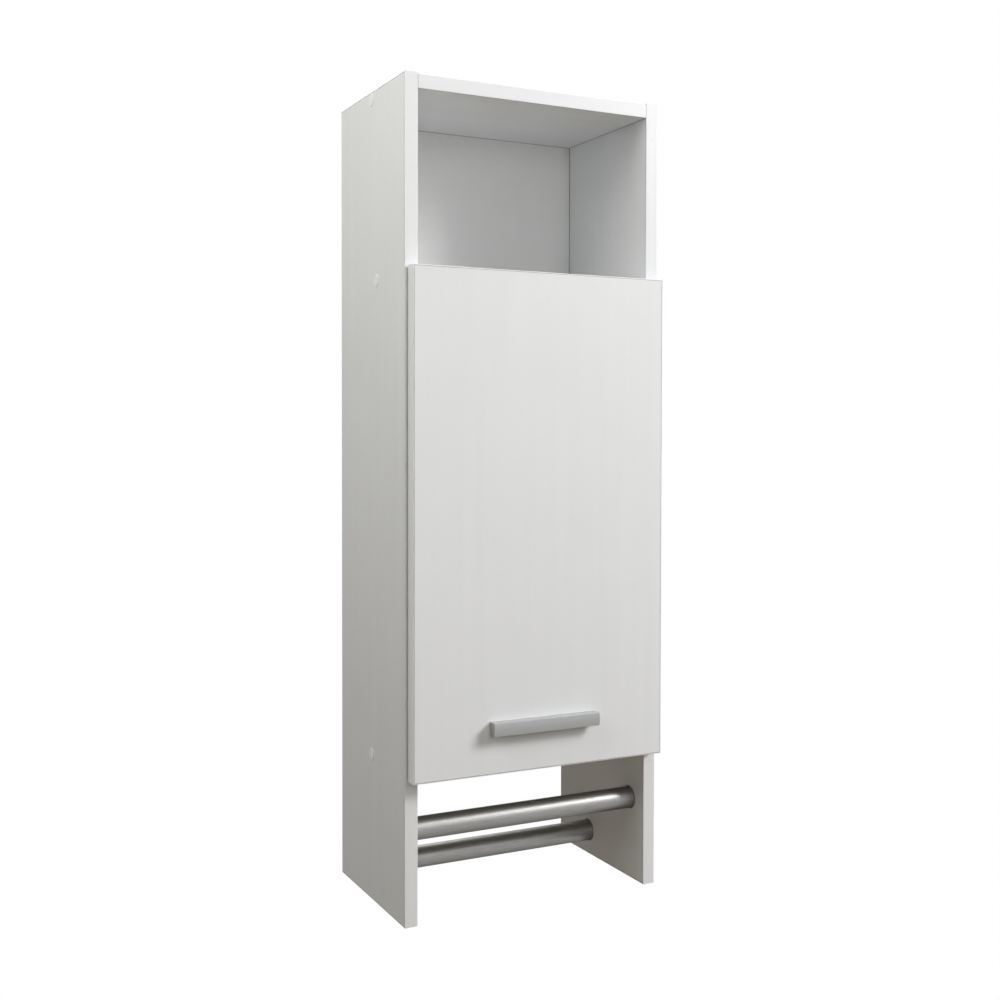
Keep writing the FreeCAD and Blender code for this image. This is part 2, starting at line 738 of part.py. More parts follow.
upright = ("edging", "door_thickness", DOOR_HEIGHT)
crossing = (f"{DOOR_WIDTH} - 2 * edging", "door_thickness", "edging")
crossing_x = f"{DOOR_LEFT} + edging"
door_strips = [
    strip("door_left_strip", (DOOR_LEFT, DOOR_FRONT, BOTTOM_UNDER), upright, "Z", "-X"),
    strip("door_right_strip", (f"-{DOOR_LEFT} - edging", DOOR_FRONT, BOTTOM_UNDER), upright, "Z", "+X"),
    strip("door_foot_strip", (crossing_x, DOOR_FRONT, BOTTOM_UNDER), crossing, "X", "-Z"),
    strip("door_head_strip", (crossing_x, DOOR_FRONT, f"{SHELF_TOP} - edging"), crossing, "X", "+Z"),
]
node("door_edging", group("door_edging_set", door_strips))

# Door buffers: soft discs stuck to the door where it closes on the right side panel
buffer_profile = [
    ("0", "0"),
    ("buffer_diameter / 2", "0"),
    ("buffer_diameter / 2 - buffer_height / 2", "buffer_height"),
    ("0", "buffer_height"),
]
buffer_x = "cabinet_width / 2 - board / 2"
buffers = [
    turned("foot_buffer", buffer_profile, (buffer_x, DOOR_BACK, f"{BOTTOM_UNDER} + buffer_inset"), "+Y"),
    turned("head_buffer", buffer_profile, (buffer_x, DOOR_BACK, f"{SHELF_TOP} - buffer_inset"), "+Y"),
]
node("door_buffers", group("buffer_set", buffers))

# Handle: a cast finger pull with a top wall, a front wall, wedge-shaped ends and two bosses
# behind the front wall that take the screws from inside the door
ALONG_DOOR = Rotation(Vector(0, 1, 0), Vector(0, 0, 1), Vector(1, 0, 0), "XYZ")
handle_body = doc.addObject("PartDesign::Body", "handle_body")
inner_face = "-(handle_reach - handle_front_wall)"
wall_under = "-handle_top_wall"
corner_face = "-(handle_reach - handle_crown)"
handle_section = [
    (corner_face, "-handle_height"),
    (inner_face, "-handle_height"),
    (inner_face, wall_under),
    ("0", wall_under),
    ("0", "0"),
    (corner_face, "0"),
]
section = outline(handle_body, "handle_section", "XY_Plane", handle_section, "handle_crown")
handle_walls = pad(handle_body, section, "handle_length")
front_corners = [Vector(size_of(x), size_of(y), 0) for x, y in (handle_section[0], handle_section[-1])]
round_corners(handle_body, handle_walls, front_corners, "handle_round")
place(handle_body, ("0", DOOR_FRONT, HANDLE_TOP), ALONG_DOOR)
handle_parts = [handle_body]
for end in (-1, 1):
    cheek = doc.addObject("PartDesign::Body", f"handle_cheek_{end + 1}")
    wedge = [("0", wall_under), (inner_face, wall_under), (inner_face, "-handle_height")]
    pad(cheek, outline(cheek, f"handle_wedge_{end + 1}", "XY_Plane", wedge), "handle_end_wall")
    cheek_x = f"{end} * (handle_length - handle_end_wall) / 2"
    place(cheek, (cheek_x, DOOR_FRONT, HANDLE_TOP), ALONG_DOOR)
    handle_parts.append(cheek)
    boss_at = (f"{end} * handle_hole_spacing / 2", DOOR_FRONT, HANDLE_HOLE_LEVEL)
    boss_length = "handle_reach - handle_front_wall"
    handle_parts.append(rod(f"handle_boss_{end + 1}", boss_at, "-Y", "handle_boss_diameter", boss_length))
handle_holes = []
handle_screws = []
for end in (-1, 1):
    hole_x = f"{end} * handle_hole_spacing / 2"
    bore = "handle_screw_diameter + 2 * hole_play"
    hole_at = (hole_x, DOOR_FRONT, HANDLE_HOLE_LEVEL)
    grip = "handle_screw_grip + hole_play"
    handle_holes.append(rod(f"handle_thread_{end + 1}", hole_at, "-Y", bore, grip))
    handle_screws.append(
        pan_screw(
            f"handle_screw_{end + 1}",
            (hole_x, DOOR_BACK, HANDLE_HOLE_LEVEL),
            "-Y",
            "handle_screw_head",
            "handle_screw_head_height",
            "handle_screw_diameter",
            "door_thickness + handle_screw_grip",
        )
    )
node("door_handle", cut("handle", fuse("handle_blank", handle_parts), handle_holes))
node("handle_screws", group("handle_screw_set", handle_screws))


# Concealed hinges. Each hinge has its own origin at the cup's centre on the back of the
# door: across runs away from the door's edge, deep runs from the carcass into the door.
ARM_PIVOT = ("outer_arm_across", "-outer_arm_deep")
INNER_PIVOT = ("inner_arm_across", "-inner_arm_deep")
CUP_PIVOT = ("-outer_cup_across", "-outer_cup_deep")
INNER_TIP = ("-inner_tip_across", "-inner_tip_deep")
PLATE_TOP = f"(-{INNER} + plate_height - {CUP_CENTRE})"
PIN_BORE = "link_pin_diameter + 2 * hole_play"
PIN_SEAT = "link_pin_diameter + 2 * pin_seat_play"
ARM_SCREWS = {"fixing": "+ fixing_offset", "adjusting": "- adjusting_offset"}


def hinge_point(level, across, deep):
    """Place of a point of a hinge in the cabinet's frame."""
    return (f"{CUP_CENTRE} + {across}", f"{DOOR_BACK} + {deep}", level)


def hinge_body(name, level):
    """An empty body at a hinge's own origin."""
    body = doc.addObject("PartDesign::Body", name)
    place(body, (CUP_CENTRE, DOOR_BACK, level))
    return body


def hinge_plate(hinge, level):
    """Mounting plate: wings with two screws and a rib that the arm clamps on."""
    plate_y = f"{FRONT} + plate_setback"
    wing_at = (f"-{INNER}", f"{plate_y} - plate_wing_width / 2", f"{level} - plate_screw_spacing / 2")
    wing_size = ("plate_wing_sheet", "plate_wing_width", "plate_screw_spacing")
    rib_at = (f"-{INNER}", f"{plate_y} - plate_rib_length / 2", f"{level} - arm_width / 2")
    rib_size = ("plate_height", "plate_rib_length", "arm_width")
    pieces = [box(f"{hinge}_plate_wing", wing_at, wing_size), box(f"{hinge}_plate_rib", rib_at, rib_size)]
    holes = []
    for use, offset in ARM_SCREWS.items():
        at = (f"-{INNER} + plate_height", f"{plate_y} {offset}", level)
        bore = "fixing_shank_diameter + 2 * hole_play"
        holes.append(rod(f"{hinge}_{use}_hole", at, "-X", bore, "plate_fixing_bite + hole_play"))
    screws = []
    for end in (-1, 1):
        screw_level = f"{level} + {end} * plate_screw_spacing / 2"
        tip_at = (f"-{INNER}", plate_y, screw_level)
        tip = rod(f"{hinge}_plate_tip_{end + 1}", tip_at, "+X", "plate_wing_width", "plate_wing_sheet")
        pieces.append(tip)
        at = (f"-{INNER} + plate_wing_sheet", plate_y, screw_level)
        bore = "small_shank_diameter + 2 * hole_play"
        holes.append(rod(f"{hinge}_wing_hole_{end + 1}", at, "-X", bore, "plate_wing_sheet"))
        screws.append(
            pan_screw(
                f"{hinge}_plate_screw_{end + 1}",
                at,
                "-X",
                "small_head_diameter",
                "small_head_height",
                "small_shank_diameter",
                "small_screw_length",
            )
        )
    node(f"{hinge}_hinge_plate", cut(f"{hinge}_plate", fuse(f"{hinge}_plate_blank", pieces), holes))
    return screws


def hinge_arm(hinge, level):
    """Hinge arm: a channel over the plate whose two cheeks reach into the cup."""
    body = hinge_body(f"{hinge}_arm_body", level)
    left = f"{ARM_PIVOT[0]} - arm_eye / 2"
    right = f"{INNER_PIVOT[0]} + arm_eye / 2"
    cheek = [
        (left, ARM_PIVOT[1]),
        (f"{INNER_PIVOT[0]} - arm_eye / 2", INNER_PIVOT[1]),
        (right, INNER_PIVOT[1]),
        (right, "door_gap + arm_sheet"),
        ("arm_top", "arm_shoulder"),
        ("arm_top", "arm_rear"),
        (PLATE_TOP, "arm_rear"),
        (PLATE_TOP, "arm_nose"),
        (left, "door_gap + arm_sheet"),
    ]
    pad(body, outline(body, f"{hinge}_arm_side", "XY_Plane", cheek), "arm_width")
    eyes = [(*ARM_PIVOT, "arm_eye"), (*INNER_PIVOT, "arm_eye")]
    pad(body, circles(body, f"{hinge}_arm_eyes", "XY_Plane", eyes), "arm_width")
    clear_left = f"{PLATE_TOP} - arm_sheet"
    clear_right = f"{right} + arm_sheet"
    channel = [
        (clear_left, "-cup_depth"),
        (clear_right, "-cup_depth"),
        (clear_right, "arm_shoulder"),
        ("arm_top - arm_sheet", "arm_shoulder"),
        ("arm_top - arm_sheet", "arm_rear - arm_sheet"),
        (clear_left, "arm_rear - arm_sheet"),
    ]
    pocket(body, outline(body, f"{hinge}_arm_channel", "XY_Plane", channel), "arm_width - 2 * arm_sheet")
    bores = [(*ARM_PIVOT, PIN_SEAT), (*INNER_PIVOT, PIN_SEAT)]
    pocket(body, circles(body, f"{hinge}_arm_bores", "XY_Plane", bores), "arm_width")
    holes = []
    screws = []
    for use, offset in ARM_SCREWS.items():
        at = hinge_point(level, "arm_top", f"door_gap + plate_setback {offset}")
        bore = "fixing_shank_diameter + 2 * hole_play"
        holes.append(rod(f"{hinge}_arm_{use}_hole", at, "-X", bore, "arm_sheet"))
        screws.append(
            pan_screw(
                f"{hinge}_{use}_screw",
                at,
                "-X",
                "fixing_head_diameter",
                "fixing_head_height",
                "fixing_shank_diameter",
                f"arm_top - {PLATE_TOP} + plate_fixing_bite",
            )
        )
    node(f"{hinge}_hinge_arm", cut(f"{hinge}_arm", body, holes))
    pins = []
    for name, (across, deep) in (("outer", ARM_PIVOT), ("inner", INNER_PIVOT)):
        at = hinge_point(f"{level} - arm_width / 2", across, deep)
        pins.append(rod(f"{hinge}_{name}_arm_pin", at, "+Z", "link_pin_diameter", "arm_width"))
    return screws, pins


def bowed_strap(body, name):
    """Outline of the outer link's strap: two like arcs, one above the other."""
    sketch = new_sketch(body, name, "XY_Plane")
    half = size_of("outer_link_sheet") / 2
    bow = size_of("outer_link_bow")
    start = Vector(-size_of("outer_cup_across"), -size_of("outer_cup_deep"), 0)
    end = Vector(size_of("outer_arm_across"), -size_of("outer_arm_deep"), 0)
    middle = (start + end) / 2 - Vector(0, bow, 0)
    for shift in (Vector(0, -half, 0), Vector(0, half, 0)):
        sketch.addGeometry(Part.ArcOfCircle(start + shift, middle + shift, end + shift))
    sketch.addGeometry(Part.LineSegment(end + Vector(0, -half, 0), end + Vector(0, half, 0)))
    sketch.addGeometry(Part.LineSegment(start + Vector(0, half, 0), start + Vector(0, -half, 0)))
    for joint in ((0, 2, 2, 1), (2, 2, 1, 2), (1, 1, 3, 1), (3, 2, 0, 1)):
        sketch.addConstraint(Sketcher.Constraint("Coincident", *joint))
    for arc, shift in ((0, "- outer_link_sheet / 2"), (1, "+ outer_link_sheet / 2")):
        pin_point(sketch, arc, 1, CUP_PIVOT[0], f"{CUP_PIVOT[1]} {shift}")
        pin_point(sketch, arc, 2, ARM_PIVOT[0], f"{ARM_PIVOT[1]} {shift}")
        index = sketch.addConstraint(Sketcher.Constraint("Radius", arc, sketch.Geometry[arc].Radius))
        reach = "(outer_arm_across + outer_cup_across)"
        rise = "(outer_cup_deep - outer_arm_deep)"
        chord = f"({reach} * {reach} + {rise} * {rise})"
        bind(sketch, f"Constraints[{index}]", f"{chord} / (8 * outer_link_bow) + outer_link_bow / 2")
    return sketch


def hinge_outer_link(hinge, level):
    """Outer link: a bowed strap with a rolled eye at each end."""
    body = hinge_body(f"{hinge}_outer_link_body", level)
    pad(body, bowed_strap(body, f"{hinge}_strap"), "outer_link_width")
    eyes = [(*ARM_PIVOT, "outer_link_eye"), (*CUP_PIVOT, "outer_link_eye")]
    pad(body, circles(body, f"{hinge}_outer_eyes", "XY_Plane", eyes), "outer_link_width")
    bores = [(*ARM_PIVOT, PIN_BORE), (*CUP_PIVOT, PIN_BORE)]
    pocket(body, circles(body, f"{hinge}_outer_bores", "XY_Plane", bores), "outer_link_width")
    node(f"{hinge}_hinge_outer_link", body)


def hinge_inner_link(hinge, level):
    """Inner link: two flat bars on one sleeve, either side of the outer link."""
    body = hinge_body(f"{hinge}_inner_link_body", level)
    half = "inner_link_height / 2"
    bar = [
        (INNER_PIVOT[0], f"{INNER_PIVOT[1]} - {half}"),
        (INNER_PIVOT[0], f"{INNER_PIVOT[1]} + {half}"),
        (INNER_TIP[0], f"{INNER_TIP[1]} + {half}"),
        (INNER_TIP[0], f"{INNER_TIP[1]} - {half}"),
    ]
    pad(body, outline(body, f"{hinge}_bar", "XY_Plane", bar), "inner_link_width")
    eyes = [(*INNER_PIVOT, "inner_link_eye"), (*INNER_TIP, "inner_tip_eye")]
    pad(body, circles(body, f"{hinge}_inner_eyes", "XY_Plane", eyes), "inner_link_width")
    inside = f"{INNER_PIVOT[0]} - inner_link_eye / 2"
    beyond = f"{INNER_TIP[0]} - inner_tip_eye"
    gap = [
        (inside, "-cup_depth"),
        (inside, "cup_depth"),
        (beyond, "cup_depth"),
        (beyond, "-cup_depth"),
    ]
    pocket(body, outline(body, f"{hinge}_gap", "XY_Plane", gap), "inner_link_gap")
    bores = [(*INNER_PIVOT, PIN_BORE), (*INNER_TIP, "inner_tip_hole")]
    pocket(body, circles(body, f"{hinge}_inner_bores", "XY_Plane", bores), "inner_link_width")
    node(f"{hinge}_hinge_inner_link", body)


def hinge_cup(hinge, level):
    """Cup: a pressed bowl with a flange, two screw wings, a notch for the links and two ears."""
    bowl = "(cup_diameter / 2 - cup_play)"
    inside = f"({bowl} - cup_wall)"
    rim = f"({bowl} + cup_rim)"
    floor = "(cup_depth - cup_play)"
    profile = [
        ("0", floor),
        (bowl, floor),
        (bowl, "0"),
        (rim, "0"),
        (rim, "-cup_flange"),
        (inside, "-cup_flange"),
        (inside, f"{floor} - cup_wall"),
        ("0", f"{floor} - cup_wall"),
    ]
    pressing = turned(f"{hinge}_cup_bowl", profile, hinge_point(level, "0", "0"), "-Y")
    wing_at = hinge_point(
        f"{level} - cup_screw_spacing / 2",
        "cup_screw_offset - cup_wing_width / 2",
        "0",
    )
    wings = [box(f"{hinge}_cup_wing", wing_at, ("cup_wing_width", "cup_flange", "cup_screw_spacing"))]
    for end in (-1, 1):
        tip_level = f"{level} + {end} * cup_screw_spacing / 2"
        tip_at = hinge_point(tip_level, "cup_screw_offset", "cup_flange")
        wings.append(rod(f"{hinge}_cup_tip_{end + 1}", tip_at, "-Y", "cup_wing_width", "cup_flange"))
    opening_at = hinge_point(level, "0", "cup_flange")
    opening = rod(f"{hinge}_cup_opening", opening_at, "-Y", f"2 * {inside}", "cup_flange")
    pieces = [pressing, cut(f"{hinge}_cup_wings", fuse(f"{hinge}_cup_wing_blank", wings), [opening])]
    ear_depth = f"{floor} - cup_ear_top - cup_wall / 2"
    ear_x = f"{CUP_PIVOT[0]} - cup_ear_back"
    for end, base in ((-1, "- cup_ear_gap / 2 - cup_ear_width"), (1, "+ cup_ear_gap / 2")):
        ear_at = hinge_point(f"{level} {base}", ear_x, f"-({floor} - cup_wall / 2)")
        ear = box(f"{hinge}_ear_{end + 1}", ear_at, ("cup_ear_length", ear_depth, "cup_ear_width"))
        pieces.append(ear)
    pin_length = "cup_ear_gap + 2 * cup_ear_width"
    pin_at = hinge_point(f"{level} - cup_ear_gap / 2 - cup_ear_width", *CUP_PIVOT)
    notch_at = hinge_point(
        f"{level} - cup_notch_width / 2",
        f"-({rim} + cup_rim)",
        "-cup_notch_depth",
    )
    notch_size = (
        f"{rim} + cup_rim - cup_notch_start",
        "cup_notch_depth + 2 * cup_flange",
        "cup_notch_width",
    )
    tools = [
        box(f"{hinge}_cup_notch", notch_at, notch_size),
        rod(f"{hinge}_cup_pin_seat", pin_at, "+Z", PIN_SEAT, pin_length),
    ]
    screws = []
    for end in (-1, 1):
        screw_level = f"{level} + {end} * cup_screw_spacing / 2"
        at = hinge_point(screw_level, "cup_screw_offset", "cup_flange")
        bore = "small_shank_diameter + 2 * hole_play"
        tools.append(rod(f"{hinge}_wing_bore_{end + 1}", at, "-Y", bore, "cup_flange"))
        screws.append(
            pan_screw(
                f"{hinge}_cup_screw_{end + 1}",
                at,
                "-Y",
                "small_head_diameter",
                "small_head_height",
                "small_shank_diameter",
                "small_screw_length",
            )
        )
    node(f"{hinge}_hinge_cup", cut(f"{hinge}_cup", fuse(f"{hinge}_cup_blank", pieces), tools))
    return screws, rod(f"{hinge}_cup_pin", pin_at, "+Z", "link_pin_diameter", pin_length)


plate_screws = []
arm_screws = []
arm_pins = []
cup_screws = []
cup_pins = []
for hinge_name, hinge_level in HINGE_LEVELS.items():
    plate_screws += hinge_plate(hinge_name, hinge_level)
    screws, pins = hinge_arm(hinge_name, hinge_level)
    arm_screws += screws
    arm_pins += pins
    hinge_outer_link(hinge_name, hinge_level)
    hinge_inner_link(hinge_name, hinge_level)
    screws, cup_pin = hinge_cup(hinge_name, hinge_level)
    cup_screws += screws
    cup_pins.append(cup_pin)
node("hinge_plate_screws", group("plate_screw_set", plate_screws))
node("hinge_arm_screws", group("arm_screw_set", arm_screws))
node("hinge_arm_pins", group("arm_pin_set", arm_pins))
node("hinge_cup_screws", group("cup_screw_set", cup_screws))
node("hinge_cup_pins", group("cup_pin_set", cup_pins))

# Build, check and write every sub-part
doc.recompute()
faults = [item.Name for item in doc.Objects if {"Invalid", "Error"} & set(item.State)]
faults += [label for label, item in nodes.items() if item.Shape.isNull() or not item.Shape.isValid()]
if faults:
    raise RuntimeError("failed: " + ", ".join(faults))
os.makedirs("parts", exist_ok=True)
for label, item in nodes.items():
    item.Shape.exportStep(f"parts/{label}.step")
print(len(nodes), "sub-parts,", sum(len(item.Shape.Solids) for item in nodes.values()), "solids")
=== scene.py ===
import math

import bpy
from mathutils import Matrix, Vector


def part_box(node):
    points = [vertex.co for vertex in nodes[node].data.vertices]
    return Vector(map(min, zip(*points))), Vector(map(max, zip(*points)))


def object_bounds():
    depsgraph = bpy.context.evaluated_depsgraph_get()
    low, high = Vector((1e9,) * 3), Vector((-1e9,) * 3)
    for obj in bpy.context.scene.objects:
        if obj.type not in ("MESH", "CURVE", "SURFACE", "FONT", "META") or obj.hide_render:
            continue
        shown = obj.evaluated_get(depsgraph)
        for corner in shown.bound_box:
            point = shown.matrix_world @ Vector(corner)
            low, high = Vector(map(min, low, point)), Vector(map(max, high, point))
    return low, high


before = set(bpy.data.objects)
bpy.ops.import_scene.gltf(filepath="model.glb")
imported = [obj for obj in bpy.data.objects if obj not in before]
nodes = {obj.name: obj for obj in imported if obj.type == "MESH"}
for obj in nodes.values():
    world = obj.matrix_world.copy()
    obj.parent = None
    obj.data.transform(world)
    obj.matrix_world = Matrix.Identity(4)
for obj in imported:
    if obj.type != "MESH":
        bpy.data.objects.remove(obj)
cad_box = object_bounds()

# Side panels, level boards and door panel: boards sawn from chipboard with white melamine
# pressed on both wide faces, screwed and dowelled together. The facing gives an even white
# with a fine pearl, sawn edges show bare flakes, and a dark line runs round each face, partly
# glue and partly painted shade where the boards meet.
FACING_WHITE = "E8E9EA"
FACING_DIM = "E5E6E7"
FACING_ROUGHNESS = (0.46, 0.56)
FACING_SPECULAR = 0.25
FACING_RELIEF = 0.12
# Dark line round each face: glue where edging and board are joined, and painted shade where the
# boards butt together (the wider butt line)
GLUE_AND_SHADE_GREY = "6A6864"
GLUE_AND_SHADE_MM = 0.4
BUTT_LINE_MM = 1.0
CLOUD_MM = 110.0
CLOUD_DETAIL = 4.0
STREAK_WIDTH_MM = 14.0
STREAK_LENGTH_MM = 450.0
FINE_DETAIL = 3.0
WHITE_RANGE = (0.75, 1.25)
# The real pearl is about 0.3 mm across, and is drawn coarser so that it shows.
PEARL_MM = 1.4
PEARL_RANGE = (0.3, 0.7)
FLAKE_DARK = "9A7A52"
FLAKE_PALE = "DCC49C"
FLAKE_ROUGHNESS = 0.9
FLAKE_MM = 2.0
FLAKE_GRAIN_MM = 0.7
FLAKE_RANGE = (0.05, 0.6)
BOARD_BUMP = 0.35
BOARD_BUMP_MM = 0.4
# How squarely a face must turn to an axis to count as a wide face of its board
SQUARE_ON = 0.9
METRE = 1000.0
# Numbers of the Mix node's sockets: two values, two colours, and the colour that comes out
VALUE_A, VALUE_B, COLOUR_A, COLOUR_B, COLOUR_OUT = 2, 3, 6, 7, 2


def linear(code):
    """Colour of an sRGB hex code, as linear RGBA."""
    channels = [int(code[i:i + 2], 16) / 255 for i in (0, 2, 4)]
    curve = [c / 12.92 if c <= 0.04045 else ((c + 0.055) / 1.055) ** 2.4 for c in channels]
    return (*curve, 1.0)


def add(tree, kind, sockets=None, **settings):
    """A shader node with its settings, and its sockets set or linked by name or number."""
    made = tree.nodes.new(kind)
    for name, value in settings.items():
        setattr(made, name, value)
    for name, value in (sockets or {}).items():
        if isinstance(value, bpy.types.NodeSocket):
            tree.links.new(value, made.inputs[name])
        else:
            made.inputs[name].default_value = value
    return made


def new_finish(name):
    """A material with one principled shader: the material, its node tree and the shader."""
    material = bpy.data.materials.new(name)
    material.use_nodes = True
    return material, material.node_tree, material.node_tree.nodes["Principled BSDF"]


def dress(material, *names):
    """Give CAD nodes a finish in every slot."""
    for name in names:
        for slot in nodes[name].material_slots:
            slot.material = material


def faced_chipboard(board, axis, end_line_mm=GLUE_AND_SHADE_MM):
    """Melamine on the faces square to one axis of a board, and bare chipboard on the rest."""
    material, tree, shader = new_finish(f"melamine_{board}")
    low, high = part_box(board)
    size = high - low
    shader.inputs["Specular IOR Level"].default_value = FACING_SPECULAR
    place = add(tree, "ShaderNodeTexCoord")
    at = place.outputs["Object"]

    # facing: slow clouds and long press streaks between two whites
    streak = [METRE / STREAK_WIDTH_MM] * 3
    streak[max(range(3), key=lambda i: size[i])] = METRE / STREAK_LENGTH_MM
    clouds = {"Vector": at, "Scale": METRE / CLOUD_MM, "Detail": CLOUD_DETAIL}
    cloud = add(tree, "ShaderNodeTexNoise", clouds)
    pulled = add(tree, "ShaderNodeMapping", {"Vector": at, "Scale": streak})
    press = {"Vector": pulled.outputs[0], "Scale": 1.0, "Detail": FINE_DETAIL}
    streaks = add(tree, "ShaderNodeTexNoise", press)
    sums = {0: cloud.outputs[0], 1: streaks.outputs[0]}
    both = add(tree, "ShaderNodeMath", sums, operation="ADD")
    least, most = WHITE_RANGE
    spread = {"Value": both.outputs[0], "From Min": least, "From Max": most}
    tone = add(tree, "ShaderNodeMapRange", spread)
    shades = {0: tone.outputs[0], COLOUR_A: linear(FACING_DIM), COLOUR_B: linear(FACING_WHITE)}
    white = add(tree, "ShaderNodeMix", shades, data_type="RGBA")

    # dark rim, partly glue and partly painted contact shade where boards meet: how far a point
    # lies beyond the inner border, on the two axes of the face
    border = size / 2 - Vector((end_line_mm, GLUE_AND_SHADE_MM, GLUE_AND_SHADE_MM)) / METRE
    border[axis] = size[axis]
    middle = {0: at, 1: (low + high) / 2}
    offset = add(tree, "ShaderNodeVectorMath", middle, operation="SUBTRACT")
    across = add(tree, "ShaderNodeVectorMath", {0: offset.outputs[0]}, operation="ABSOLUTE")
    inner = {0: across.outputs[0], 1: border}
    beyond = add(tree, "ShaderNodeVectorMath", inner, operation="SUBTRACT")
    reach = add(tree, "ShaderNodeSeparateXYZ", {0: beyond.outputs[0]}).outputs
    far = add(tree, "ShaderNodeMath", {0: reach["X"], 1: reach["Y"]}, operation="MAXIMUM")
    far = add(tree, "ShaderNodeMath", {0: far.outputs[0], 1: reach["Z"]}, operation="MAXIMUM")
    glue_and_shade_mask = add(tree, "ShaderNodeMath", {0: far.outputs[0], 1: 0.0}, operation="GREATER_THAN")
    glue_and_shade = linear(GLUE_AND_SHADE_GREY)
    lined = {0: glue_and_shade_mask.outputs[0], COLOUR_A: white.outputs[COLOUR_OUT], COLOUR_B: glue_and_shade}
    face = add(tree, "ShaderNodeMix", lined, data_type="RGBA")

    # chipboard: flakes of several browns with a fine grain
    flakes = add(tree, "ShaderNodeTexVoronoi", {"Vector": at, "Scale": METRE / FLAKE_MM})
    fibre = {"Vector": at, "Scale": METRE / FLAKE_GRAIN_MM, "Detail": FINE_DETAIL}
    grain = add(tree, "ShaderNodeTexNoise", fibre)
    shade = add(tree, "ShaderNodeSeparateColor", {0: flakes.outputs["Color"]})
    product = {0: shade.outputs[0], 1: grain.outputs[0]}
    mixed = add(tree, "ShaderNodeMath", product, operation="MULTIPLY")
    least, most = FLAKE_RANGE
    spread = {"Value": mixed.outputs[0], "From Min": least, "From Max": most}
    brown = add(tree, "ShaderNodeMapRange", spread)
    browns = {0: brown.outputs[0], COLOUR_A: linear(FLAKE_DARK), COLOUR_B: linear(FLAKE_PALE)}
    bare = add(tree, "ShaderNodeMix", browns, data_type="RGBA")

    # facing on the wide faces, chipboard on the sawn ones
    normal = add(tree, "ShaderNodeSeparateXYZ", {0: place.outputs["Normal"]})
    square = add(tree, "ShaderNodeMath", {0: normal.outputs[axis]}, operation="ABSOLUTE")
    turned = {0: square.outputs[0], 1: SQUARE_ON}
    faced = add(tree, "ShaderNodeMath", turned, operation="GREATER_THAN").outputs[0]
    sides = {0: faced, COLOUR_A: bare.outputs[COLOUR_OUT], COLOUR_B: face.outputs[COLOUR_OUT]}
    colour = add(tree, "ShaderNodeMix", sides, data_type="RGBA")
    tree.links.new(colour.outputs[COLOUR_OUT], shader.inputs["Base Color"])
    pearls = {"Vector": at, "Scale": METRE / PEARL_MM, "Detail": FINE_DETAIL}
    pearl = add(tree, "ShaderNodeTexNoise", pearls)
    least, most = PEARL_RANGE
    smooth, dull = FACING_ROUGHNESS
    spread = {"Value": pearl.outputs[0], "From Min": least, "From Max": most}
    spread.update({"To Min": smooth, "To Max": dull})
    polish = add(tree, "ShaderNodeMapRange", spread)
    finish = {0: faced, VALUE_A: FLAKE_ROUGHNESS, VALUE_B: polish.outputs[0]}
    rough = add(tree, "ShaderNodeMix", finish)
    tree.links.new(rough.outputs[0], shader.inputs["Roughness"])
    skin = add(tree, "ShaderNodeMapRange", {"Value": pearl.outputs[0], "To Max": FACING_RELIEF})
    heights = {0: faced, VALUE_A: grain.outputs[0], VALUE_B: skin.outputs[0]}
    height = add(tree, "ShaderNodeMix", heights).outputs[0]
    relief = {"Height": height, "Strength": BOARD_BUMP, "Distance": BOARD_BUMP_MM / METRE}
    tree.links.new(add(tree, "ShaderNodeBump", relief).outputs[0], shader.inputs["Normal"])
    dress(material, board)


X_AXIS, Y_AXIS, Z_AXIS = range(3)
for upright_board in ("left_side_panel", "right_side_panel"):
    faced_chipboard(upright_board, X_AXIS)
for level_board in ("top_panel", "fixed_shelf", "bottom_panel"):
    faced_chipboard(level_board, Z_AXIS, BUTT_LINE_MM)
faced_chipboard("adjustable_shelf", Z_AXIS)
faced_chipboard("door_panel", Y_AXIS)

# Edging strips: white ABS band, hot-glued to the sawn edges and trimmed flush by a cutter.
# The cutter leaves faint drag marks along the strip, and use leaves a few dull scuffs. The
# real marks are a few tenths of a millimetre wide, and are drawn coarser so that they show.
EDGE_WHITE = "E7E8EA"
EDGE_DIM = "E3E4E6"
EDGE_SCUFF = "DBDCDD"
EDGE_ROUGHNESS = (0.3, 0.42)
DRAG_WIDTH_MM = 1.1
DRAG_LENGTH_MM = 85.0
DRAG_BUMP = 0.12
DRAG_BUMP_MM = 0.1
SCUFF_MM = 7.0
SCUFF_DETAIL = 6.0
SCUFF_RANGE = (0.64, 0.8)


